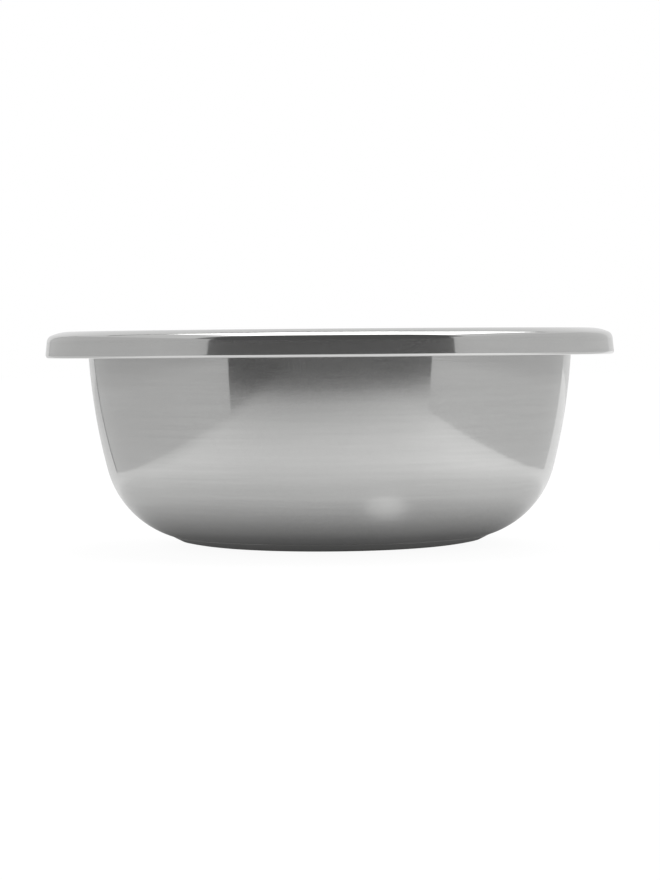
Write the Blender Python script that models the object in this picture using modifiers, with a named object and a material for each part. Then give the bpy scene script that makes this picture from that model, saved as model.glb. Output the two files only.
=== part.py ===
"""Shaving bowl: a pressed sheet-steel bowl with a turned-down rim, standing on a base disc.

Metres, +Z up. The origin is the middle of the flat that the bowl stands on, and Z is the axis
that both pieces are turned about. Profiles lie in the XZ plane, as (radius, height) pairs.
"""

from math import asin, atan2, cos, hypot, pi, radians, sin, sqrt

import bpy

# Overall sizes
RIM_DIAMETER = 0.1200  # across the outside of the lip
BOWL_HEIGHT = 0.0453  # from the table to the top of the flange

# The sheet that the bowl is drawn from
SHEET = 0.0008

# Flange and lip
LIP_HEIGHT = 0.0055  # from the flange's top to the lip's lower edge
LIP_FLARE = radians(6)  # how far the lip leans out as it goes down
ROLL_RADIUS = 0.0100  # outside of the soft roll in which the flange starts to fall away
ROLL_TURN = radians(23)  # how far the roll turns the flange down
SHOULDER_RADIUS = 0.0015  # outside bend from the roll down into the lip
HEM_CLEARANCE = 0.0010  # from the folded edge's top, inside the lip, up to the shoulder's bend
MOUTH_RADIUS = 0.0020  # underside of the bend from the wall out into the flange

# Wall and corner, as outside measures
BODY_RADIUS = 0.0511  # at the top of the wall, where the mouth's bend starts
TOP_TAPER = radians(2.4)  # the wall's lean from the vertical at its top
LOW_TAPER = radians(14.5)  # its lean where the corner starts
CORNER_RADIUS = 0.0198

# Base disc
BASE_THICKNESS = 0.0009  # in its flat middle
BASE_RADIUS = 0.0336  # out to its thin edge, which lies against the corner
CROWN_END_RADIUS = 0.0320  # where the underside breaks up to that edge
STANDING_RADIUS = 0.0230  # the flat that touches the table
CROWN_RADIUS = 0.0390  # how the underside curves up around that flat
BASE_EDGE = 0.0001  # thickness left at the thin edge

# Gap between the shell and the disc under it
JOINT_GAP = 0.0003

# Facets
TURN_STEPS = 64
WALL_STEPS = 7
CORNER_STEPS = 8
BEND_STEPS = 5
ROLL_STEPS = 3
EDGE_STEPS = 5
CROWN_STEPS = 4
LEDGE_STEPS = 3
WELD_DISTANCE = 0.00001

STEEL_COLOUR = (0.56, 0.565, 0.57, 1.0)


def along(centre, radius, angle):
    """The point at this angle, from +X towards +Z, on a circle."""
    return (centre[0] + radius * cos(angle), centre[1] + radius * sin(angle))


def bend(centre, radius, start, end, steps):
    """Points along an arc, with both its ends."""
    turns = (start + (end - start) * step / steps for step in range(steps + 1))
    return [along(centre, radius, turn) for turn in turns]


def wall_centres():
    """The centres of the corner, the wall's long arc and the mouth's bend, and the long arc's radius.

    The corner is tangent to the flat bottom and to the long arc, and the long arc to the mouth's
    bend, so the long arc takes whatever radius fills the height between them.
    """
    floor_under = BASE_THICKNESS + JOINT_GAP
    mouth_height = BOWL_HEIGHT - SHEET - MOUTH_RADIUS
    wall_top = mouth_height + MOUTH_RADIUS * sin(TOP_TAPER)
    wall_foot = floor_under + CORNER_RADIUS * (1 - sin(LOW_TAPER))
    wall_radius = (wall_top - wall_foot) / (sin(LOW_TAPER) - sin(TOP_TAPER))

    mouth = (BODY_RADIUS + MOUTH_RADIUS * cos(TOP_TAPER), mouth_height)
    wall = along((BODY_RADIUS, wall_top), -wall_radius, -TOP_TAPER)
    corner = along(wall, wall_radius - CORNER_RADIUS, -LOW_TAPER)
    return corner, wall, mouth, wall_radius


def lip_centres():
    """The centres of the flange's roll, of the shoulder's bend and of the fold that ends the lip.

    The lip's face is the line that touches the last two circles from outside, leaning by
    LIP_FLARE, and the roll runs into the shoulder's bend without a kink.
    """
    fold = (RIM_DIAMETER / 2 - SHEET, BOWL_HEIGHT - LIP_HEIGHT + SHEET)
    roll_height = BOWL_HEIGHT - ROLL_RADIUS
    between = ROLL_RADIUS - SHOULDER_RADIUS
    shoulder_height = roll_height + between * cos(ROLL_TURN)
    face = fold[0] * cos(LIP_FLARE) + fold[1] * sin(LIP_FLARE) + SHEET
    from_axis = face - SHOULDER_RADIUS - shoulder_height * sin(LIP_FLARE)
    shoulder = (from_axis / cos(LIP_FLARE), shoulder_height)
    roll = (shoulder[0] - between * sin(ROLL_TURN), roll_height)
    return roll, shoulder, fold


def sheet_side(under):
    """One side of the sheet from the axis out to the lip, and under is 1 for its outer side.

    Both sides share their bends' centres, which keeps the sheet one thickness all along.
    """
    corner, wall, mouth, wall_radius = wall_centres()
    roll, shoulder, _ = lip_centres()
    roll_end = pi / 2 - ROLL_TURN
    inside = SHEET * (1 - under)
    outside = SHEET * under
    points = [(0.0, BASE_THICKNESS + JOINT_GAP + inside)]
    points += bend(corner, CORNER_RADIUS - inside, -pi / 2, -LOW_TAPER, CORNER_STEPS)
    points += bend(wall, wall_radius - inside, -LOW_TAPER, -TOP_TAPER, WALL_STEPS)[1:]
    points += bend(mouth, MOUTH_RADIUS + inside, pi - TOP_TAPER, pi / 2, BEND_STEPS)[1:]
    points += bend(roll, ROLL_RADIUS - outside, pi / 2, roll_end, ROLL_STEPS)
    points += bend(shoulder, SHOULDER_RADIUS - outside, roll_end, LIP_FLARE, BEND_STEPS)[1:]
    return points


def hem():
    """Round the lip's folded edge and up to the sheet's end inside the lip.

    The hem is the sheet folded flat on itself, so it is two sheets thick, closed at its top by the
    sheet's own cut edge, which stops short of the shoulder's bend.
    """
    _, shoulder, fold = lip_centres()
    rounded = bend(fold, SHEET, LIP_FLARE, LIP_FLARE - pi, EDGE_STEPS)
    up_the_lip = LIP_FLARE + pi / 2
    straight = hypot(shoulder[0] - fold[0], shoulder[1] - fold[1])
    straight = sqrt(straight**2 - (SHOULDER_RADIUS - SHEET) ** 2)
    rise = straight - HEM_CLEARANCE
    return rounded + [along(rounded[-1], rise, up_the_lip), along(fold, rise, up_the_lip)]


def shell_profile():
    """Out along the inside of the bowl, round the lip's hem, and back along the outside."""
    return sheet_side(0) + hem() + sheet_side(1)[::-1]


def base_profile():
    """Out along the top of the disc, which nests under the shell, and back along its underside."""
    corner, _, _, _ = wall_centres()
    nest_radius = CORNER_RADIUS + JOINT_GAP
    nest_end = asin((BASE_RADIUS - corner[0]) / nest_radius) - pi / 2
    top = [(0.0, BASE_THICKNESS)] + bend(corner, nest_radius, -pi / 2, nest_end, BEND_STEPS)

    crown = (STANDING_RADIUS, CROWN_RADIUS)
    crown_end = asin((CROWN_END_RADIUS - STANDING_RADIUS) / CROWN_RADIUS) - pi / 2
    under = bend(crown, CROWN_RADIUS, crown_end, -pi / 2, CROWN_STEPS)

    # The ledge follows the corner's curve, and thickens evenly from its edge to the crown's end.
    edge_reach = nest_radius + BASE_EDGE
    crown_reach = hypot(under[0][0] - corner[0], under[0][1] - corner[1])
    ledge_end = atan2(under[0][1] - corner[1], under[0][0] - corner[0])
    ledge = []
    for step in range(LEDGE_STEPS):
        share = step / LEDGE_STEPS
        reach = edge_reach + (crown_reach - edge_reach) * share
        ledge.append(along(corner, reach, nest_end + (ledge_end - nest_end) * share))
    return top + ledge + under + [(0.0, 0.0)]


def steel(name, roughness):
    """Stainless steel with its own gloss."""
    material = bpy.data.materials.new(name)
    material.use_nodes = True
    shader = material.node_tree.nodes["Principled BSDF"]
    shader.inputs["Base Color"].default_value = STEEL_COLOUR
    shader.inputs["Metallic"].default_value = 1.0
    shader.inputs["Roughness"].default_value = roughness
    material.diffuse_color = STEEL_COLOUR
    return material


def turned(name, profile, material, collection):
    """One solid of revolution from an outline that starts and ends on the axis."""
    mesh = bpy.data.meshes.new(name)
    places = [(radius, 0.0, height) for radius, height in profile]
    mesh.from_pydata(places, [(i, i + 1) for i in range(len(places) - 1)], [])
    piece = bpy.data.objects.new(name, mesh)
    piece.data.materials.append(material)
    collection.objects.link(piece)

    screw = piece.modifiers.new("Turn", "SCREW")
    screw.axis = "Z"
    screw.angle = 2 * pi
    screw.steps = TURN_STEPS
    screw.render_steps = TURN_STEPS
    screw.use_merge_vertices = True
    screw.merge_threshold = WELD_DISTANCE
    screw.use_smooth_shade = True
    return piece


def build():
    for thing in list(bpy.data.objects):
        bpy.data.objects.remove(thing, do_unlink=True)
    collection = bpy.data.collections.new("shaving_bowl")
    bpy.context.scene.collection.children.link(collection)

    satin = steel("satin_polished_stainless", 0.22)
    brushed = steel("brushed_stainless", 0.32)
    turned("bowl_shell", shell_profile(), satin, collection)
    turned("base_disc", base_profile(), brushed, collection)

    corner, _, _, wall_radius = wall_centres()
    print(f"flat floor out to {corner[0] * 1000:.2f} mm, wall's arc {wall_radius * 1000:.1f} mm")


build()
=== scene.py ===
# %% [markdown]
# # A shaving bowl in pressed stainless steel
# The bowl is one disc of sheet steel, drawn into a cup and turned down around its rim, with a thin
# disc fixed under it. Both pieces are turned shapes, so this file draws one outline for each and
# turns it with Geometry Nodes. Polished steel has almost no colour of its own: what is seen is the
# room, so half of the work is the set of cards, table and softbox that the steel reflects.

# %% Load the frame
from math import asin, cos, hypot, pi, radians, sin, sqrt

import bpy
from mathutils import Matrix, Vector


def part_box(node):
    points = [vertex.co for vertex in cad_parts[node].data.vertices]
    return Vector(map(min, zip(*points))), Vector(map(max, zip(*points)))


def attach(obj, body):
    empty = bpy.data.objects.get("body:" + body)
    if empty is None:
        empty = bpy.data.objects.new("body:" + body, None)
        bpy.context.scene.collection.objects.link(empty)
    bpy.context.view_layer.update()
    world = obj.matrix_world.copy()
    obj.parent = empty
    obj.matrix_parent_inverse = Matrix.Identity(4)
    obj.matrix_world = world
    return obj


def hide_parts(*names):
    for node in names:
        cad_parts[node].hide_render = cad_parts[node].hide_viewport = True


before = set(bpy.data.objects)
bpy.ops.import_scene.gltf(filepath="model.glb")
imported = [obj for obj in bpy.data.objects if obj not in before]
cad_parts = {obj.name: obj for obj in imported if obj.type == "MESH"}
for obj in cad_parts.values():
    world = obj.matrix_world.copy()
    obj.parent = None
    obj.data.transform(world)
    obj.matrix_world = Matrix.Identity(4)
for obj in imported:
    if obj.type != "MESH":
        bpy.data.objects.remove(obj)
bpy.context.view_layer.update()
MM = 0.001

shell_low, shell_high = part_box("bowl_shell")
disc_low, disc_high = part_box("base_disc")
print("nodes:", sorted(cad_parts))
print("shell from", [round(v / MM, 2) for v in shell_low], "to", [round(v / MM, 2) for v in shell_high])

# %% [markdown]
# ## Helpers
# Colours are written as the sRGB hex value that a paint chart would give, and Blender wants linear
# light, so one function turns one into the other. Another adds any node with its settings and its
# inputs, which may be values or another node's output, so a node tree reads from top to bottom. A
# third looks a value up between stops, as one reads a curve off a chart.


# %% Colours and nodes
def linear(hex_colour):
    """An sRGB hex colour as linear RGBA."""
    channels = [int(hex_colour[i : i + 2], 16) / 255 for i in (1, 3, 5)]
    light = [c / 12.92 if c <= 0.04045 else ((c + 0.055) / 1.055) ** 2.4 for c in channels]
    return (*light, 1.0)


def add(tree, kind, inputs=None, **settings):
    """A new node, with its settings, and its inputs as values or as another node's output."""
    node = tree.nodes.new(kind)
    for name, value in settings.items():
        setattr(node, name, value)
    for key, value in (inputs or {}).items():
        socket = node.inputs[key]
        if isinstance(value, bpy.types.NodeSocket):
            tree.links.new(value, socket)
        else:
            socket.default_value = value
    return node


def sum_of(tree, operation, first, second=0.0, third=0.0):
    """One Math node, and its result."""
    values = {0: first, 1: second, 2: third}
    return add(tree, "ShaderNodeMath", values, operation=operation).outputs[0]


def ramp(tree, value, stops):
    """A value looked up between stops, given as (place, result) pairs in rising order."""
    first, last = stops[0][0], stops[-1][0]
    share = add(tree, "ShaderNodeMapRange", {"Value": value, "From Min": first, "From Max": last})
    node = add(tree, "ShaderNodeValToRGB", {0: share.outputs[0]})
    while len(node.color_ramp.elements) < len(stops):
        node.color_ramp.elements.new(0.5)
    for element, (place, result) in zip(node.color_ramp.elements, stops):
        element.position = (place - first) / (last - first)
        element.color = (result, result, result, 1.0)
    return node.outputs[0]


# %% [markdown]
# ## The outline
# A pressed bowl has no sharp bends, so its outline is a chain of arcs that share tangents: the round
# corner, the long curve of the wall, the bend out into the flange and the shoulder down into the
# lip. The flange's outer part rolls down softly before the shoulder turns sharply into the lip, and
# the two bends reflect as two bands with a crisp line between them. The inside and the outside of
# the sheet are arcs about the same centres, one sheet apart, which keeps the metal one thickness.
# The heights are read from the frame, so the piece stands exactly where the solid did.

# %% Sizes of the shell
WAVE_ROOM = 0.03 * MM  # the waviness below pushes the lip out by less than this
RIM_RADIUS = 60.0 * MM - WAVE_ROOM
TOP = shell_high[2]
UNDER_FLOOR = shell_low[2]
SHEET = 0.8 * MM
LIP_HEIGHT = 5.5 * MM
HEM_CLEARANCE = 1.0 * MM
HEM_ROUND = 0.2 * MM
LIP_FLARE = radians(6)
ROLL_RADIUS = 10.0 * MM
ROLL_TURN = radians(23)
SHOULDER_RADIUS = 1.5 * MM
MOUTH_RADIUS = 2.0 * MM
BODY_RADIUS = 51.1 * MM
TOP_TAPER = radians(2.4)
LOW_TAPER = radians(14.5)
CORNER_RADIUS = 19.8 * MM
print(f"height {TOP / MM:.1f} mm, underside of the floor at {UNDER_FLOOR / MM:.2f} mm")


# %% Arcs
def along(centre, radius, angle):
    """The point at this angle on a circle in the plane of the outline."""
    return (centre[0] + radius * cos(angle), centre[1] + radius * sin(angle))


def bend(centre, radius, start, end, steps):
    """Points along an arc, with both its ends."""
    return [along(centre, radius, start + (end - start) * i / steps) for i in range(steps + 1)]


def stretch(first, last, steps):
    """Points along a straight line, without its ends."""
    shares = [i / steps for i in range(1, steps)]
    return [tuple(a + (b - a) * share for a, b in zip(first, last)) for share in shares]


# %% Centres of the bends
mouth_height = TOP - SHEET - MOUTH_RADIUS
wall_top = mouth_height + MOUTH_RADIUS * sin(TOP_TAPER)
wall_foot = UNDER_FLOOR + CORNER_RADIUS * (1 - sin(LOW_TAPER))
WALL_RADIUS = (wall_top - wall_foot) / (sin(LOW_TAPER) - sin(TOP_TAPER))
mouth_centre = (BODY_RADIUS + MOUTH_RADIUS * cos(TOP_TAPER), mouth_height)
wall_centre = along((BODY_RADIUS, wall_top), -WALL_RADIUS, -TOP_TAPER)
corner_centre = along(wall_centre, WALL_RADIUS - CORNER_RADIUS, -LOW_TAPER)

hem_centre = (RIM_RADIUS - SHEET, TOP - LIP_HEIGHT + SHEET)
lip_face = hem_centre[0] * cos(LIP_FLARE) + hem_centre[1] * sin(LIP_FLARE) + SHEET
between = ROLL_RADIUS - SHOULDER_RADIUS
roll_height = TOP - ROLL_RADIUS
shoulder_height = roll_height + between * cos(ROLL_TURN)
shoulder_reach = (lip_face - SHOULDER_RADIUS - shoulder_height * sin(LIP_FLARE)) / cos(LIP_FLARE)
shoulder_centre = (shoulder_reach, shoulder_height)
roll_centre = (shoulder_reach - between * sin(ROLL_TURN), roll_height)
ROLL_END = pi / 2 - ROLL_TURN
LIP_SPAN = hypot(shoulder_reach - hem_centre[0], shoulder_height - hem_centre[1])
LIP_STRAIGHT = sqrt(LIP_SPAN**2 - (SHOULDER_RADIUS - SHEET) ** 2)
print(f"wall's arc {WALL_RADIUS / MM:.1f} mm, flat floor out to {corner_centre[0] / MM:.1f} mm")
print(f"the lip is straight for {LIP_STRAIGHT / MM:.2f} mm")


# %% One side of the sheet
def sheet_side(under):
    """The sheet's upper side from the axis out to the shoulder, or its under side if under is 1."""
    up = SHEET * (1 - under)
    down = SHEET * under
    floor = (0.0, UNDER_FLOOR + up)
    corner = bend(corner_centre, CORNER_RADIUS - up, -pi / 2, -LOW_TAPER, 26)
    wall = bend(wall_centre, WALL_RADIUS - up, -LOW_TAPER, -TOP_TAPER, 22)
    mouth = bend(mouth_centre, MOUTH_RADIUS + up, pi - TOP_TAPER, pi / 2, 12)
    roll = bend(roll_centre, ROLL_RADIUS - down, pi / 2, ROLL_END, 10)
    shoulder = bend(shoulder_centre, SHOULDER_RADIUS - down, ROLL_END, LIP_FLARE, 14)
    points = [floor] + stretch(floor, corner[0], 18) + corner + wall[1:] + mouth[1:]
    return points + stretch(mouth[-1], roll[0], 4) + roll + shoulder[1:]


# The bevel pressed into the hem's outer corner, as (radius, direction faced at its end, steps).
BEVEL_EDGE = 0.35 * MM
BEVEL_CROWN = 1.4 * MM
HEM_BENDS = [(BEVEL_EDGE, radians(-22), 6), (BEVEL_CROWN, radians(-38), 6), (BEVEL_EDGE, -pi / 2, 6)]


# %% The hem
def roll_on(start, facing, bends):
    """Points round a chain of bends, each given as (radius, direction faced at its end, steps)."""
    points = [start]
    for radius, turned_to, steps in bends:
        centre = along(points[-1], -radius, facing)
        points += bend(centre, radius, facing, turned_to, steps)[1:]
        facing = turned_to
    return points


def hem(last_above, last_below):
    """The lip from the shoulder down, round its folded edge, and up the inside to the shoulder.

    The sheet's cut edge is folded up inside the lip, so the hem is two sheets thick. Its outer
    corner is pressed to a narrow bevel, which catches the table as a bright line.
    """
    outward = (cos(LIP_FLARE), sin(LIP_FLARE))
    start = along(hem_centre, SHEET, LIP_FLARE)
    outer_half = roll_on(start, LIP_FLARE, HEM_BENDS)
    drop = outer_half[-1][1] - (TOP - LIP_HEIGHT)
    slide = along((0.0, 0.0), drop / cos(LIP_FLARE), LIP_FLARE - pi / 2)
    outer_half = [(x + slide[0], z + slide[1]) for x, z in outer_half]
    lowest = outer_half[-1]
    depth = lip_face - lowest[0] * outward[0] - lowest[1] * outward[1]
    inner_radius = (2 * SHEET - depth) / (1 - sin(LIP_FLARE))
    inner_half = roll_on(lowest, -pi / 2, [(inner_radius, LIP_FLARE - pi, 8)])
    rounded = outer_half + inner_half[1:]
    rise = LIP_STRAIGHT - HEM_CLEARANCE - HEM_ROUND
    inside = along(hem_centre, SHEET, LIP_FLARE - pi)
    up_lip = LIP_FLARE + pi / 2
    fold_end = along(inside, rise, up_lip)
    fold_centre = along(fold_end, HEM_ROUND, LIP_FLARE)
    fold = bend(fold_centre, HEM_ROUND, LIP_FLARE + pi, up_lip, 4)
    step = along(hem_centre, rise + HEM_ROUND, up_lip)
    outer = stretch(last_above, rounded[0], 4)
    inner = stretch(rounded[-1], fold_end, 4) + fold
    return outer + rounded + inner + [step] + stretch(step, last_below, 3)


above = sheet_side(0)
below = sheet_side(1)
shell_outline = above + hem(above[-1], below[-1]) + below[::-1]
print(f"shell's outline has {len(shell_outline)} points")

# %% [markdown]
# ## The outline of the base disc
# The disc nests under the round corner of the bowl. Its underside is flat where it stands and then
# curves up, and close to its edge it breaks upwards more steeply, which is the small ledge that shows
# at the foot.

# %% The disc's outline
STANDING_RADIUS = 23.0 * MM
CROWN_RADIUS = 39.0 * MM
CROWN_END_RADIUS = 31.7 * MM
DISC_RADIUS = disc_high[0]
SEAT_GAP = 0.01 * MM
DISC_EDGE = 0.06 * MM

nest_radius = CORNER_RADIUS + SEAT_GAP
nest_end = asin((DISC_RADIUS - corner_centre[0]) / nest_radius) - pi / 2
nest = bend(corner_centre, nest_radius, -pi / 2, nest_end, 12)
axis_top = (0.0, nest[0][1])
disc_top = [axis_top] + stretch(axis_top, nest[0], 18) + nest

crown_centre = (STANDING_RADIUS, CROWN_RADIUS)
crown_end = asin((CROWN_END_RADIUS - STANDING_RADIUS) / CROWN_RADIUS) - pi / 2
crown = bend(crown_centre, CROWN_RADIUS, crown_end, -pi / 2, 14)
edge_under = (nest[-1][0], nest[-1][1] - DISC_EDGE)
disc_foot = (0.0, 0.0)
disc_outline = disc_top + [edge_under] + stretch(edge_under, crown[0], 6) + crown
disc_outline += stretch(crown[-1], disc_foot, 16) + [disc_foot]
print(f"disc's outline has {len(disc_outline)} points, {DISC_RADIUS / MM:.1f} mm in radius")

# %% [markdown]
# ## Turning with Geometry Nodes
# A lathe rule makes both pieces: take a flat grid with one row for each point of the outline and one
# column for each step of the turn, and move every point of the grid to its outline point, rotated
# about the axis. Merging by distance then closes the seam and the poles. A Screw modifier would do
# the same, but the tree can also push the sheet in and out by a few hundredths of a millimetre,
# because drawn sheet is never perfectly round, and polish makes even that much visible.
# The tree also keeps the distance along the outline, for the polishing lines to follow.

# %% The lathe tree
ALONG = "along_outline"


def lathe_tree():
    """Turns the incoming chain of points about Z."""
    tree = bpy.data.node_groups.new("lathe", "GeometryNodeTree")
    socket = tree.interface.new_socket
    socket("Geometry", in_out="INPUT", socket_type="NodeSocketGeometry")
    socket("Turn Steps", in_out="INPUT", socket_type="NodeSocketInt")
    socket("Waviness", in_out="INPUT", socket_type="NodeSocketFloat")
    socket("Wave Scale", in_out="INPUT", socket_type="NodeSocketFloat")
    socket("Finish", in_out="INPUT", socket_type="NodeSocketMaterial")
    socket("Geometry", in_out="OUTPUT", socket_type="NodeSocketGeometry")
    given = add(tree, "NodeGroupInput").outputs
    outline = given["Geometry"]

    def whole(operation, first, second):
        values = {0: first, 1: second}
        return add(tree, "FunctionNodeIntegerMath", values, operation=operation).outputs[0]

    columns = whole("ADD", given["Turn Steps"], 1)
    size = add(tree, "GeometryNodeAttributeDomainSize", {"Geometry": outline}, component="MESH")
    sides = {"Vertices X": size.outputs["Point Count"], "Vertices Y": columns}
    grid = add(tree, "GeometryNodeMeshGrid", sides).outputs["Mesh"]

    index = add(tree, "GeometryNodeInputIndex").outputs[0]
    row = whole("DIVIDE_FLOOR", index, columns)
    column = whole("MODULO", index, columns)
    place = add(tree, "GeometryNodeInputPosition").outputs[0]
    taken = add(tree, "GeometryNodeSampleIndex", data_type="FLOAT_VECTOR")
    tree.links.new(outline, taken.inputs["Geometry"])
    tree.links.new(place, taken.inputs["Value"])
    tree.links.new(row, taken.inputs["Index"])
    share = sum_of(tree, "DIVIDE", column, given["Turn Steps"])
    angle = sum_of(tree, "MULTIPLY", share, 2 * pi)
    spun = {"Vector": taken.outputs[0], "Angle": angle}
    spun = add(tree, "ShaderNodeVectorRotate", spun, rotation_type="Z_AXIS").outputs[0]

    kept = add(tree, "GeometryNodeInputNamedAttribute", {"Name": ALONG}, data_type="FLOAT")
    distance = add(tree, "GeometryNodeSampleIndex", data_type="FLOAT")
    tree.links.new(outline, distance.inputs["Geometry"])
    tree.links.new(kept.outputs["Attribute"], distance.inputs["Value"])
    tree.links.new(row, distance.inputs["Index"])

    stored = {"Geometry": grid, "Name": ALONG, "Value": distance.outputs[0]}
    stored = add(tree, "GeometryNodeStoreNamedAttribute", stored, data_type="FLOAT", domain="POINT")
    turned = {"Geometry": stored.outputs[0], "Position": spun}
    turned = add(tree, "GeometryNodeSetPosition", turned).outputs[0]
    closed = {"Geometry": turned, "Distance": 0.001 * MM}
    closed = add(tree, "GeometryNodeMergeByDistance", closed).outputs[0]

    # The noise is sampled at each point's own place, so both sides of the sheet move together.
    wave = {"Vector": place, "Scale": given["Wave Scale"], "Detail": 1.0}
    wave = add(tree, "ShaderNodeTexNoise", wave).outputs[0]
    height = sum_of(tree, "MULTIPLY", sum_of(tree, "SUBTRACT", wave, 0.5), given["Waviness"])
    outward = add(tree, "ShaderNodeVectorMath", {0: place, 1: (1.0, 1.0, 0.0)}, operation="MULTIPLY")
    outward = add(tree, "ShaderNodeVectorMath", {0: outward.outputs[0]}, operation="NORMALIZE")
    push = {0: outward.outputs[0], "Scale": height}
    push = add(tree, "ShaderNodeVectorMath", push, operation="SCALE").outputs[0]
    wavy = add(tree, "GeometryNodeSetPosition", {"Geometry": closed, "Offset": push}).outputs[0]

    smooth = add(tree, "GeometryNodeSetShadeSmooth", {"Geometry": wavy}).outputs[0]
    real = add(tree, "GeometryNodeRealizeInstances", {"Geometry": smooth}).outputs[0]
    dressed = {"Geometry": real, "Material": given["Finish"]}
    dressed = add(tree, "GeometryNodeSetMaterial", dressed).outputs[0]
    add(tree, "NodeGroupOutput", {"Geometry": dressed})
    return tree


LATHE = lathe_tree()


# %% Turning an outline
def travel(outline):
    """How far along the outline each of its points lies."""
    lengths = [hypot(b[0] - a[0], b[1] - a[1]) for a, b in zip(outline, outline[1:])]
    return [sum(lengths[:i]) for i in range(len(outline))]


def turn(name, outline, steps, waviness, wave_scale, finish):
    """The outline turned into a plain mesh object."""
    chain = bpy.data.meshes.new(name + "_outline")
    edges = [(i, i + 1) for i in range(len(outline) - 1)]
    chain.from_pydata([(r, 0.0, z) for r, z in outline], edges, [])
    chain.attributes.new(ALONG, "FLOAT", "POINT").data.foreach_set("value", travel(outline))

    blank = bpy.data.objects.new(name + "_blank", chain)
    bpy.context.collection.objects.link(blank)
    lathe = blank.modifiers.new("Lathe", "NODES")
    lathe.node_group = LATHE
    values = {"Turn Steps": steps, "Waviness": waviness, "Wave Scale": wave_scale, "Finish": finish}
    for item in LATHE.interface.items_tree:
        if item.in_out == "INPUT" and item.name in values:
            lathe[item.identifier] = values[item.name]
    seen = blank.evaluated_get(bpy.context.evaluated_depsgraph_get())
    mesh = bpy.data.meshes.new_from_object(seen)
    mesh.name = name
    bpy.data.objects.remove(blank)
    piece = bpy.data.objects.new(name, mesh)
    bpy.context.collection.objects.link(piece)
    print(f"{name}: {len(mesh.vertices)} points, {len(mesh.polygons)} faces")
    return piece


# %% [markdown]
# ## Satin-polished 18/8 stainless steel
# Sheet for tableware is austenitic steel with about 18 % chromium and 8 % nickel. After drawing, it
# is buffed on a wheel while it spins, so the gloss is high but not a mirror's: reflections keep
# their edges and lose only their finest detail. Four things make that finish.
# - Hair-fine lines run round the bowl. They tilt the surface a little and change its tone a little,
#   and because they all run one way, reflections blur more up and down than sideways (anisotropy).
# - The steel is left full of tiny pits between the buffed lands. Each is far too small to see, and
#   together they lay a soft haze over the sharp reflections.
# - Handling leaves a few faint scuffs, and the buffing compound leaves the gloss slightly cloudy.
# - The flat flange meets the wheel squarely and has few pits left. The lip's lower corner has a
#   lighter steel colour, a painted highlight that brightens the bright line reflected there.
# Real buffing lines are about 0.05 mm apart, too fine to show here, so they are drawn at 0.8 mm.

# %% Steel
LINE_SPACING = 0.8 * MM
CLOUD_SIZE = 14.0 * MM
SCUFF_SPACING = 1.1 * MM
PIT_SPACING = 0.03 * MM
BUFFED_PITS = 0.15  # the share of the haze that is left on the flange
DARKEST = 0.90  # the tone between buffed lines, as a share of the steel's own
LINES_IN_TONE = 0.5
CLOUDS_IN_TONE = 0.6
SCUFF_ROUGHNESS = 0.08
# A lighter steel colour on the lip's lower corner: a painted highlight on the bright line there.
HEM_HIGHLIGHT_STEEL = "#DADAD9"


def lines_round(tree, places, spacing):
    """Noise drawn out into lines around the axis, as a polishing wheel leaves them.

    Its first two coordinates walk once round a small circle, so the lines have no seam.
    """
    flat = add(tree, "ShaderNodeVectorMath", {0: places, 1: (1.0, 1.0, 0.0)}, operation="MULTIPLY")
    circle = add(tree, "ShaderNodeVectorMath", {0: flat.outputs[0]}, operation="NORMALIZE")
    distance = add(tree, "ShaderNodeAttribute", attribute_name=ALONG).outputs["Fac"]
    across = sum_of(tree, "DIVIDE", distance, spacing)
    parts = add(tree, "ShaderNodeSeparateXYZ", {0: circle.outputs[0]}).outputs
    slow_x = sum_of(tree, "MULTIPLY", parts[0], 1.5)
    slow_y = sum_of(tree, "MULTIPLY", parts[1], 1.5)
    vector = add(tree, "ShaderNodeCombineXYZ", {0: slow_x, 1: slow_y, 2: across}).outputs[0]
    noise = {"Vector": vector, "Scale": 1.0, "Detail": 3.0, "Roughness": 0.6}
    return add(tree, "ShaderNodeTexNoise", noise).outputs[0]


def scuffs(tree, places, turn_by, spacing):
    """Long thin marks in one direction, with most of the surface left clean."""
    spread = (1 / (14 * spacing), 1 / spacing, 1 / (14 * spacing))
    mapping = {"Vector": places, "Rotation": turn_by, "Scale": spread}
    laid = add(tree, "ShaderNodeMapping", mapping).outputs[0]
    noise = {"Vector": laid, "Scale": 1.0, "Detail": 4.0, "Roughness": 0.65}
    noise = add(tree, "ShaderNodeTexNoise", noise).outputs[0]
    marks = {"Value": noise, "From Min": 0.64, "From Max": 0.74}
    return add(tree, "ShaderNodeMapRange", marks).outputs[0]


def within(tree, first, last, softness):
    """One along a stretch of the outline, falling to nothing over the softness at both ends."""
    distance = add(tree, "ShaderNodeAttribute", attribute_name=ALONG).outputs["Fac"]
    rising = {"Value": distance, "From Min": first - softness, "From Max": first}
    rising = add(tree, "ShaderNodeMapRange", rising).outputs[0]
    falling = {"Value": distance, "From Min": last + softness, "From Max": last}
    falling = add(tree, "ShaderNodeMapRange", falling).outputs[0]
    return sum_of(tree, "MULTIPLY", rising, falling)


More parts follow.
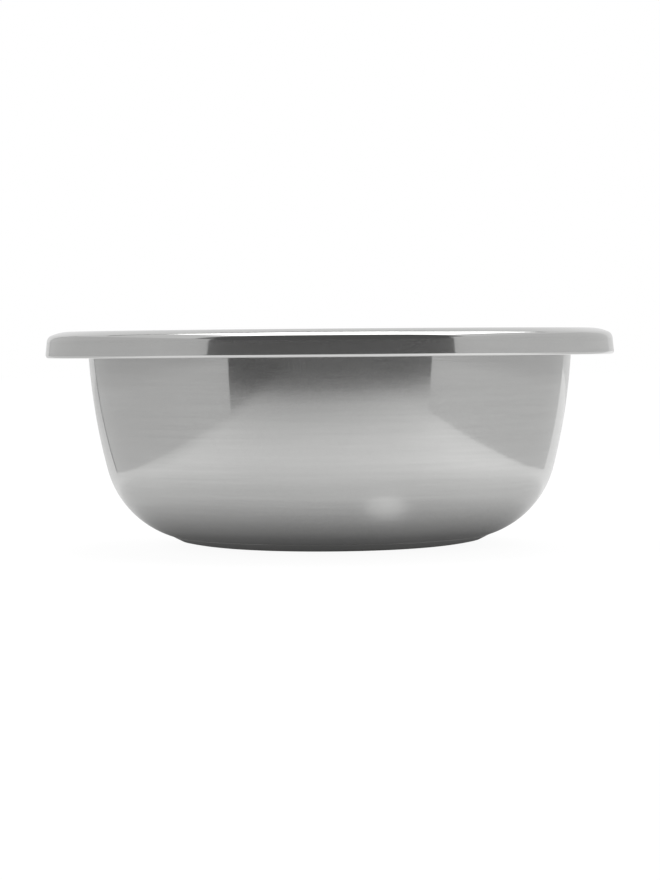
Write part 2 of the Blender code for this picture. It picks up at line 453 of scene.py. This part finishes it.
def steel(name, hex_colour, gloss, cloud, haze, line_depth, line_spacing, buffed=None, highlighted=None):
    """Stainless steel: gloss is its roughness, cloud how far that wanders, and haze its pits' part.

    Buffed and the last argument are stretches of the outline, as (first, last, softness) distances.
    The wheel has taken most of the pits out of the one. The other is a painted highlight, a lighter
    steel colour.
    """
    material = bpy.data.materials.new(name)
    material.use_nodes = True
    tree = material.node_tree
    shader = tree.nodes["Principled BSDF"]
    places = add(tree, "ShaderNodeTexCoord").outputs["Object"]

    clouds = {"Vector": places, "Scale": 1 / CLOUD_SIZE, "Detail": 3.0, "Roughness": 0.55}
    clouds = add(tree, "ShaderNodeTexNoise", clouds).outputs[0]
    lines = lines_round(tree, places, line_spacing)
    marks = scuffs(tree, places, (0.3, 0.9, 0.5), SCUFF_SPACING)
    more_marks = scuffs(tree, places, (1.1, 0.2, 2.0), SCUFF_SPACING)
    marks = sum_of(tree, "MAXIMUM", marks, more_marks)

    tint = linear(hex_colour)
    darker = tuple(c * DARKEST for c in tint[:3]) + (1.0,)
    streaks = add(tree, "ShaderNodeMapRange", {"Value": lines, "From Min": 0.34, "From Max": 0.66})
    streaks = sum_of(tree, "MULTIPLY_ADD", streaks.outputs[0], LINES_IN_TONE, 0.05)
    share = sum_of(tree, "MULTIPLY_ADD", clouds, CLOUDS_IN_TONE, streaks)
    colour = add(tree, "ShaderNodeMix", {0: share, 6: darker, 7: tint}, data_type="RGBA")
    colour = colour.outputs[2]
    # Painted highlight: the steel is made lighter along the lip's lower corner to brighten its bright
    # line.
    if highlighted:
        bright = {0: within(tree, *highlighted), 6: colour, 7: linear(HEM_HIGHLIGHT_STEEL)}
        colour = add(tree, "ShaderNodeMix", bright, data_type="RGBA").outputs[2]
    tree.links.new(colour, shader.inputs["Base Color"])

    rough = sum_of(tree, "MULTIPLY_ADD", clouds, cloud, gloss - cloud / 2)
    rough = sum_of(tree, "MULTIPLY_ADD", lines, cloud * 0.6, rough)
    rough = sum_of(tree, "MULTIPLY_ADD", marks, SCUFF_ROUGHNESS, rough)
    pits = {"Vector": places, "Scale": 1 / PIT_SPACING, "Detail": 0.0}
    pits = add(tree, "ShaderNodeTexNoise", pits).outputs[0]
    pits = {"Value": pits, "From Min": 0.55, "From Max": 0.62}
    pits = add(tree, "ShaderNodeMapRange", pits).outputs[0]
    if buffed:
        left = sum_of(tree, "MULTIPLY_ADD", within(tree, *buffed), BUFFED_PITS - 1.0, 1.0)
        pits = sum_of(tree, "MULTIPLY", pits, left)
    rough = sum_of(tree, "MULTIPLY_ADD", pits, haze, rough)
    tree.links.new(rough, shader.inputs["Roughness"])

    bump = {"Height": lines, "Strength": 1.0, "Distance": line_depth}
    bump = add(tree, "ShaderNodeBump", bump).outputs[0]
    tree.links.new(bump, shader.inputs["Normal"])
    shader.inputs["Metallic"].default_value = 1.0
    shader.inputs["Anisotropic"].default_value = 0.7
    shader.inputs["Anisotropic Rotation"].default_value = 0.25
    return material


# %% The buffed flange, the painted highlight on the lip's corner and the two finishes
FLANGE_INSIDE = 52.5 * MM
HIGHLIGHT_DROP = 0.32 * MM  # from the middle of the fold down to where the painted highlight starts
HIGHLIGHT_DEPTH = 0.8 * MM  # from the lip's face inwards

travelled = travel(shell_outline)
flange_start = min(range(len(above)), key=lambda i: abs(above[i][0] - FLANGE_INSIDE))
FLANGE_BUFF = (travelled[flange_start], travelled[len(above) - 3], 0.5 * MM)
highlight_top = hem_centre[1] - HIGHLIGHT_DROP
highlight_reach = RIM_RADIUS - HIGHLIGHT_DEPTH
highlight_points = [i for i, (r, z) in enumerate(shell_outline) if z < highlight_top and r > highlight_reach]
HEM_HIGHLIGHT = (travelled[highlight_points[0]], travelled[highlight_points[-1]], 0.06 * MM)
print("flange buffed from", [round(v / MM, 2) for v in FLANGE_BUFF], "mm along the outline")
print("hem worn from", [round(v / MM, 2) for v in HEM_HIGHLIGHT], "of", round(travelled[-1] / MM, 2), "mm")

shell_finish = ("#CDCDCC", 0.048, 0.05, 0.35, 0.0040 * MM, LINE_SPACING, FLANGE_BUFF, HEM_HIGHLIGHT)
disc_finish = ("#C6C6C5", 0.20, 0.06, 0.25, 0.0015 * MM, 0.5 * MM)
shell_steel = steel("satin_polished_18_8_stainless", *shell_finish)
disc_steel = steel("brushed_18_8_stainless", *disc_finish)

# %% [markdown]
# ## The two pieces
# Each turned piece stands for the solid of the same name and takes that solid's place, and both ride
# on the one body that the bowl has.

# %% Turn the shell and the disc
shell = turn("bowl_shell_sheet", shell_outline, 288, 0.045 * MM, 45.0, shell_steel)
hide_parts("bowl_shell")
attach(shell, "root")

disc = turn("base_disc_plate", disc_outline, 192, 0.0, 1.0, disc_steel)
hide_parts("base_disc")
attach(disc, "root")

# %% [markdown]
# ## Light
# Steel is lit by what it reflects. The set is a white tent, open in front, where the room behind the
# camera is dark. Two low white cards stand close at the left and right and give the broad light
# sides of the bowl, with a crisp dark stretch between them. A softbox hangs overhead, and its dark
# rear frame draws the thin line along the flange. The table is white around the bowl, dark close
# under it where the bowl shades it, and fades towards the dark room in front. Cards and the mirrored
# table are hidden from the camera, so that every view shows a plain pale floor and a white ground.


# %% A stage piece
def stage_rectangle(name, middle, across, up, material):
    """A flat card from its middle and its two half sides."""
    middle, across, up = Vector(middle), Vector(across), Vector(up)
    corners = [middle - across - up, middle + across - up, middle + across + up, middle - across + up]
    mesh = bpy.data.meshes.new(name)
    mesh.from_pydata(corners, [], [(0, 1, 2, 3)])
    mesh.materials.append(material)
    card = bpy.data.objects.new(name, mesh)
    bpy.context.collection.objects.link(card)
    return card


def glowing(name, strength, rising=None):
    """A light of its own, even, or changed with height by the given stops."""
    material = bpy.data.materials.new(name)
    material.use_nodes = True
    tree = material.node_tree
    tree.nodes.clear()
    if rising:
        place = add(tree, "ShaderNodeTexCoord").outputs["Object"]
        height = add(tree, "ShaderNodeSeparateXYZ", {0: place}).outputs[2]
        strength = sum_of(tree, "MULTIPLY", ramp(tree, height, rising), strength)
    glow = {"Color": (1.0, 1.0, 1.0, 1.0), "Strength": strength}
    glow = add(tree, "ShaderNodeEmission", glow).outputs[0]
    add(tree, "ShaderNodeOutputMaterial", {"Surface": glow})
    return material


# %% Side cards
CARD_REACH = 93.0 * MM
CARD_TOP = 90.0 * MM
CARD_EDGE = 3.0 * MM
CARD_FRONT = -111.7 * MM
# Light on the cards by height. The dimmer band darkens the wall a little just below the lip.
CARD_BAND = [(0.026, 1.0), (0.032, 0.86), (0.039, 0.88), (0.045, 1.0)]
LEFT_CARD = 0.64
RIGHT_CARD = 0.69


def upright_card(name, side, outline, material):
    """A card standing at a side of the bowl, from its outline as (forward, up) points."""
    mesh = bpy.data.meshes.new(name)
    corners = [(side * CARD_REACH, forward, up) for forward, up in outline]
    mesh.from_pydata(corners, [], [tuple(range(len(corners)))])
    mesh.materials.append(material)
    card = bpy.data.objects.new(name, mesh)
    bpy.context.collection.objects.link(card)
    card.visible_camera = False
    return card


# The left card leans a little at its front, and its paper bows at its back, where a dark edge shows.
left_front = [(CARD_FRONT + 2.2 * MM, 0.0), (CARD_FRONT - 6.6 * MM, CARD_TOP)]
left_back = [(56.0 * MM, CARD_TOP), (57.0 * MM, 65.0 * MM), (63.0 * MM, 35.0 * MM), (53.0 * MM, 0.0)]
left_edge = left_back + [(forward + CARD_EDGE, up) for forward, up in left_back[::-1]]
right_front = [(CARD_FRONT, 0.0), (CARD_FRONT, CARD_TOP)]
right_back = [(54.0 * MM, CARD_TOP), (54.0 * MM, 0.0)]

card_edge_black = glowing("card_edge_black", 0.02)
left_paper = glowing("left_card_white", LEFT_CARD, CARD_BAND)
right_paper = glowing("right_card_white", RIGHT_CARD, CARD_BAND)
upright_card("left_card", -1, left_front + left_back, left_paper)
upright_card("left_card_edge", -1, left_edge, card_edge_black)
upright_card("right_card", 1, right_front + right_back, right_paper)

# %% Floor that the camera sees
FLOOR_HALF = 3.0
FLOOR_TONE = 0.12
FLOOR_GLOW = 0.94
floor_paint = bpy.data.materials.new("pale_matt_paint")
floor_paint.use_nodes = True
floor_shader = floor_paint.node_tree.nodes["Principled BSDF"]
floor_shader.inputs["Base Color"].default_value = (FLOOR_TONE, FLOOR_TONE, FLOOR_TONE, 1.0)
floor_shader.inputs["Roughness"].default_value = 0.9
floor_shader.inputs["Specular IOR Level"].default_value = 0.0
floor_shader.inputs["Emission Color"].default_value = (1.0, 1.0, 1.0, 1.0)
floor_shader.inputs["Emission Strength"].default_value = FLOOR_GLOW
floor_middle = (0.0, 0.0, -0.2 * MM)
floor = stage_rectangle("floor", floor_middle, (FLOOR_HALF, 0, 0), (0, FLOOR_HALF, 0), floor_paint)
floor.visible_glossy = False

# %% [markdown]
# ## The table that the steel mirrors
# The table is drawn as light, not as paint, so that its fading can be set where the steel needs it.
# All its curves are in metres. It fades with the distance in front of the bowl, along a line that
# bows and leans a little. It darkens close to the bowl, which stands over it. It darkens at its front
# corners, and it is a little brighter to the right. One small bright patch close in front gives the
# soft highlight low on the wall.

# %% The mirrored table
FADE = [(-0.300, 0.85), (-0.100, 0.88), (0.000, 0.97), (0.030, 1.05), (0.060, 1.02), (0.085, 0.96)]
FADE += [(0.102, 0.87), (0.125, 0.77), (0.150, 0.63), (0.184, 0.33), (0.205, 0.21)]
FADE += [(0.236, 0.14), (0.300, 0.11)]
FADE_BOW = 1.2
FADE_LEAN = -0.05
SHADE = [(0.024, 0.03), (0.034, 0.13), (0.039, 0.27), (0.045, 0.46), (0.053, 0.67)]
SHADE += [(0.071, 0.82), (0.085, 1.0)]
CORNERS = [(-0.125, 0.60), (-0.100, 0.62), (-0.089, 0.87), (-0.080, 1.0), (0.075, 1.02)]
CORNERS += [(0.100, 0.93), (0.125, 0.90)]
CORNERS_START = [(0.0, 0.0), (0.050, 1.0)]
BRIGHTER_RIGHT = 0.7
PATCH_PLACE = (0.0148, -0.0462, 0.0)
PATCH = [(0.0, 0.26), (0.004, 0.18), (0.007, 0.03), (0.010, 0.0)]


def mirrored_table_light():
    """The table's light, changed by place with the curves above."""
    material = bpy.data.materials.new("white_table_fading_forwards")
    material.use_nodes = True
    tree = material.node_tree
    tree.nodes.clear()
    place = add(tree, "ShaderNodeTexCoord").outputs["Object"]
    aside, forward, _ = add(tree, "ShaderNodeSeparateXYZ", {0: place}).outputs

    squared = sum_of(tree, "MULTIPLY", aside, aside)
    in_front = sum_of(tree, "MULTIPLY", squared, FADE_BOW)
    in_front = sum_of(tree, "MULTIPLY_ADD", aside, FADE_LEAN, in_front)
    in_front = sum_of(tree, "SUBTRACT", in_front, forward)
    fade = ramp(tree, in_front, FADE)

    from_axis = add(tree, "ShaderNodeVectorMath", {0: place}, operation="LENGTH")
    lit = sum_of(tree, "MULTIPLY", fade, ramp(tree, from_axis.outputs["Value"], SHADE))

    corners = sum_of(tree, "SUBTRACT", ramp(tree, aside, CORNERS), 1.0)
    corners = sum_of(tree, "MULTIPLY_ADD", corners, ramp(tree, in_front, CORNERS_START), 1.0)
    lit = sum_of(tree, "MULTIPLY", lit, corners)

    from_patch = {0: place, 1: PATCH_PLACE}
    from_patch = add(tree, "ShaderNodeVectorMath", from_patch, operation="DISTANCE")
    lit = sum_of(tree, "ADD", lit, ramp(tree, from_patch.outputs["Value"], PATCH))

    rightwards = sum_of(tree, "MULTIPLY_ADD", aside, BRIGHTER_RIGHT, 1.0)
    lit = sum_of(tree, "MULTIPLY", lit, rightwards)
    light = add(tree, "ShaderNodeEmission", {"Color": (1.0, 1.0, 1.0, 1.0), "Strength": lit})
    add(tree, "ShaderNodeOutputMaterial", {"Surface": light.outputs[0]})
    return material


table_middle = (0.0, 0.15, -0.1 * MM)
table_halves = ((0.6, 0, 0), (0, 0.45, 0))
table = stage_rectangle("mirrored_table", table_middle, *table_halves, mirrored_table_light())
table.visible_camera = False
table.visible_shadow = False
table.visible_diffuse = False

# %% Softbox overhead, with its dark rear frame
SOFTBOX_MIDDLE = Vector((0.0425, 0.0755, 0.35))
SOFTBOX_WIDTH = 0.375
SOFTBOX_DEPTH = 0.405
SOFTBOX_RADIANCE = 2.0
FRAME_WIDTH = 42.0 * MM
FRAME_HALF_LENGTH = 0.26
FRAME_MIDDLE_X = -0.01

softbox_data = bpy.data.lights.new("softbox", "AREA")
softbox_data.shape = "RECTANGLE"
softbox_data.size = SOFTBOX_WIDTH
softbox_data.size_y = SOFTBOX_DEPTH
softbox_data.energy = SOFTBOX_RADIANCE * pi * SOFTBOX_WIDTH * SOFTBOX_DEPTH
softbox = bpy.data.objects.new("softbox", softbox_data)
softbox.location = SOFTBOX_MIDDLE
bpy.context.collection.objects.link(softbox)
softbox.visible_camera = False

frame_y = SOFTBOX_MIDDLE.y + SOFTBOX_DEPTH / 2 + FRAME_WIDTH / 2
frame_middle = (FRAME_MIDDLE_X, frame_y, SOFTBOX_MIDDLE.z)
frame_halves = ((FRAME_HALF_LENGTH, 0, 0), (0.0, FRAME_WIDTH / 2, 0.0))
softbox_frame = stage_rectangle("softbox_frame", frame_middle, *frame_halves, card_edge_black)
softbox_frame.visible_camera = False

# %% Tent and dark room
GAP_HALF_WIDTH = radians(60)
GAP_TOP = 0.955
TENT = 0.8
ROOM = 0.115

world = bpy.data.worlds.new("white_tent")
world.use_nodes = True
bpy.context.scene.world = world
sky = world.node_tree
sky.nodes.clear()
heading = add(sky, "ShaderNodeTexCoord").outputs["Generated"]
flat = add(sky, "ShaderNodeVectorMath", {0: heading, 1: (1.0, 1.0, 0.0)}, operation="MULTIPLY")
flat = add(sky, "ShaderNodeVectorMath", {0: flat.outputs[0]}, operation="NORMALIZE").outputs[0]
forwards = {0: flat, 1: (0.0, -1.0, 0.0)}
forwards = add(sky, "ShaderNodeVectorMath", forwards, operation="DOT_PRODUCT").outputs["Value"]
gap_edge = cos(GAP_HALF_WIDTH)
in_gap = {"Value": forwards, "From Min": gap_edge - 0.02, "From Max": gap_edge + 0.02}
in_gap = add(sky, "ShaderNodeMapRange", in_gap).outputs[0]
rise = add(sky, "ShaderNodeSeparateXYZ", {0: heading}).outputs[2]
below_top = {"Value": rise, "From Min": GAP_TOP + 0.015, "From Max": GAP_TOP - 0.015}
below_top = add(sky, "ShaderNodeMapRange", below_top).outputs[0]
dark = sum_of(sky, "MULTIPLY", in_gap, below_top)
glow = sum_of(sky, "MULTIPLY_ADD", dark, ROOM - TENT, TENT)
seen_by_camera = add(sky, "ShaderNodeLightPath").outputs["Is Camera Ray"]
glow = add(sky, "ShaderNodeMix", {0: seen_by_camera, 2: glow, 3: 1.0}).outputs[0]
background = add(sky, "ShaderNodeBackground", {"Color": (1.0, 1.0, 1.0, 1.0), "Strength": glow})
add(sky, "ShaderNodeOutputWorld", {"Surface": background.outputs[0]})

bpy.context.scene.view_settings.view_transform = "Standard"

# %% [markdown]
# ## Camera
# The bowl is seen from the side at the height of its lip, from about five rims away, with a long
# lens. The camera dips by two degrees and leans by half a degree, as a hand-set tripod does.

# %% Camera
EYE_HEIGHT = 42.4 * MM
EYE_DISTANCE = 594.0 * MM
DIP = radians(1.974)
LEAN = radians(0.475)
AIM_ASIDE = -0.10 * MM

camera_data = bpy.data.cameras.new("camera")
camera_data.lens = 114.5
camera_data.clip_start = 0.01
camera = bpy.data.objects.new("camera", camera_data)
bpy.context.collection.objects.link(camera)
stand = Matrix.Translation((AIM_ASIDE, -EYE_DISTANCE, EYE_HEIGHT))
camera.matrix_world = stand @ Matrix.Rotation(pi / 2 - DIP, 4, "X") @ Matrix.Rotation(-LEAN, 4, "Z")
bpy.context.scene.camera = camera
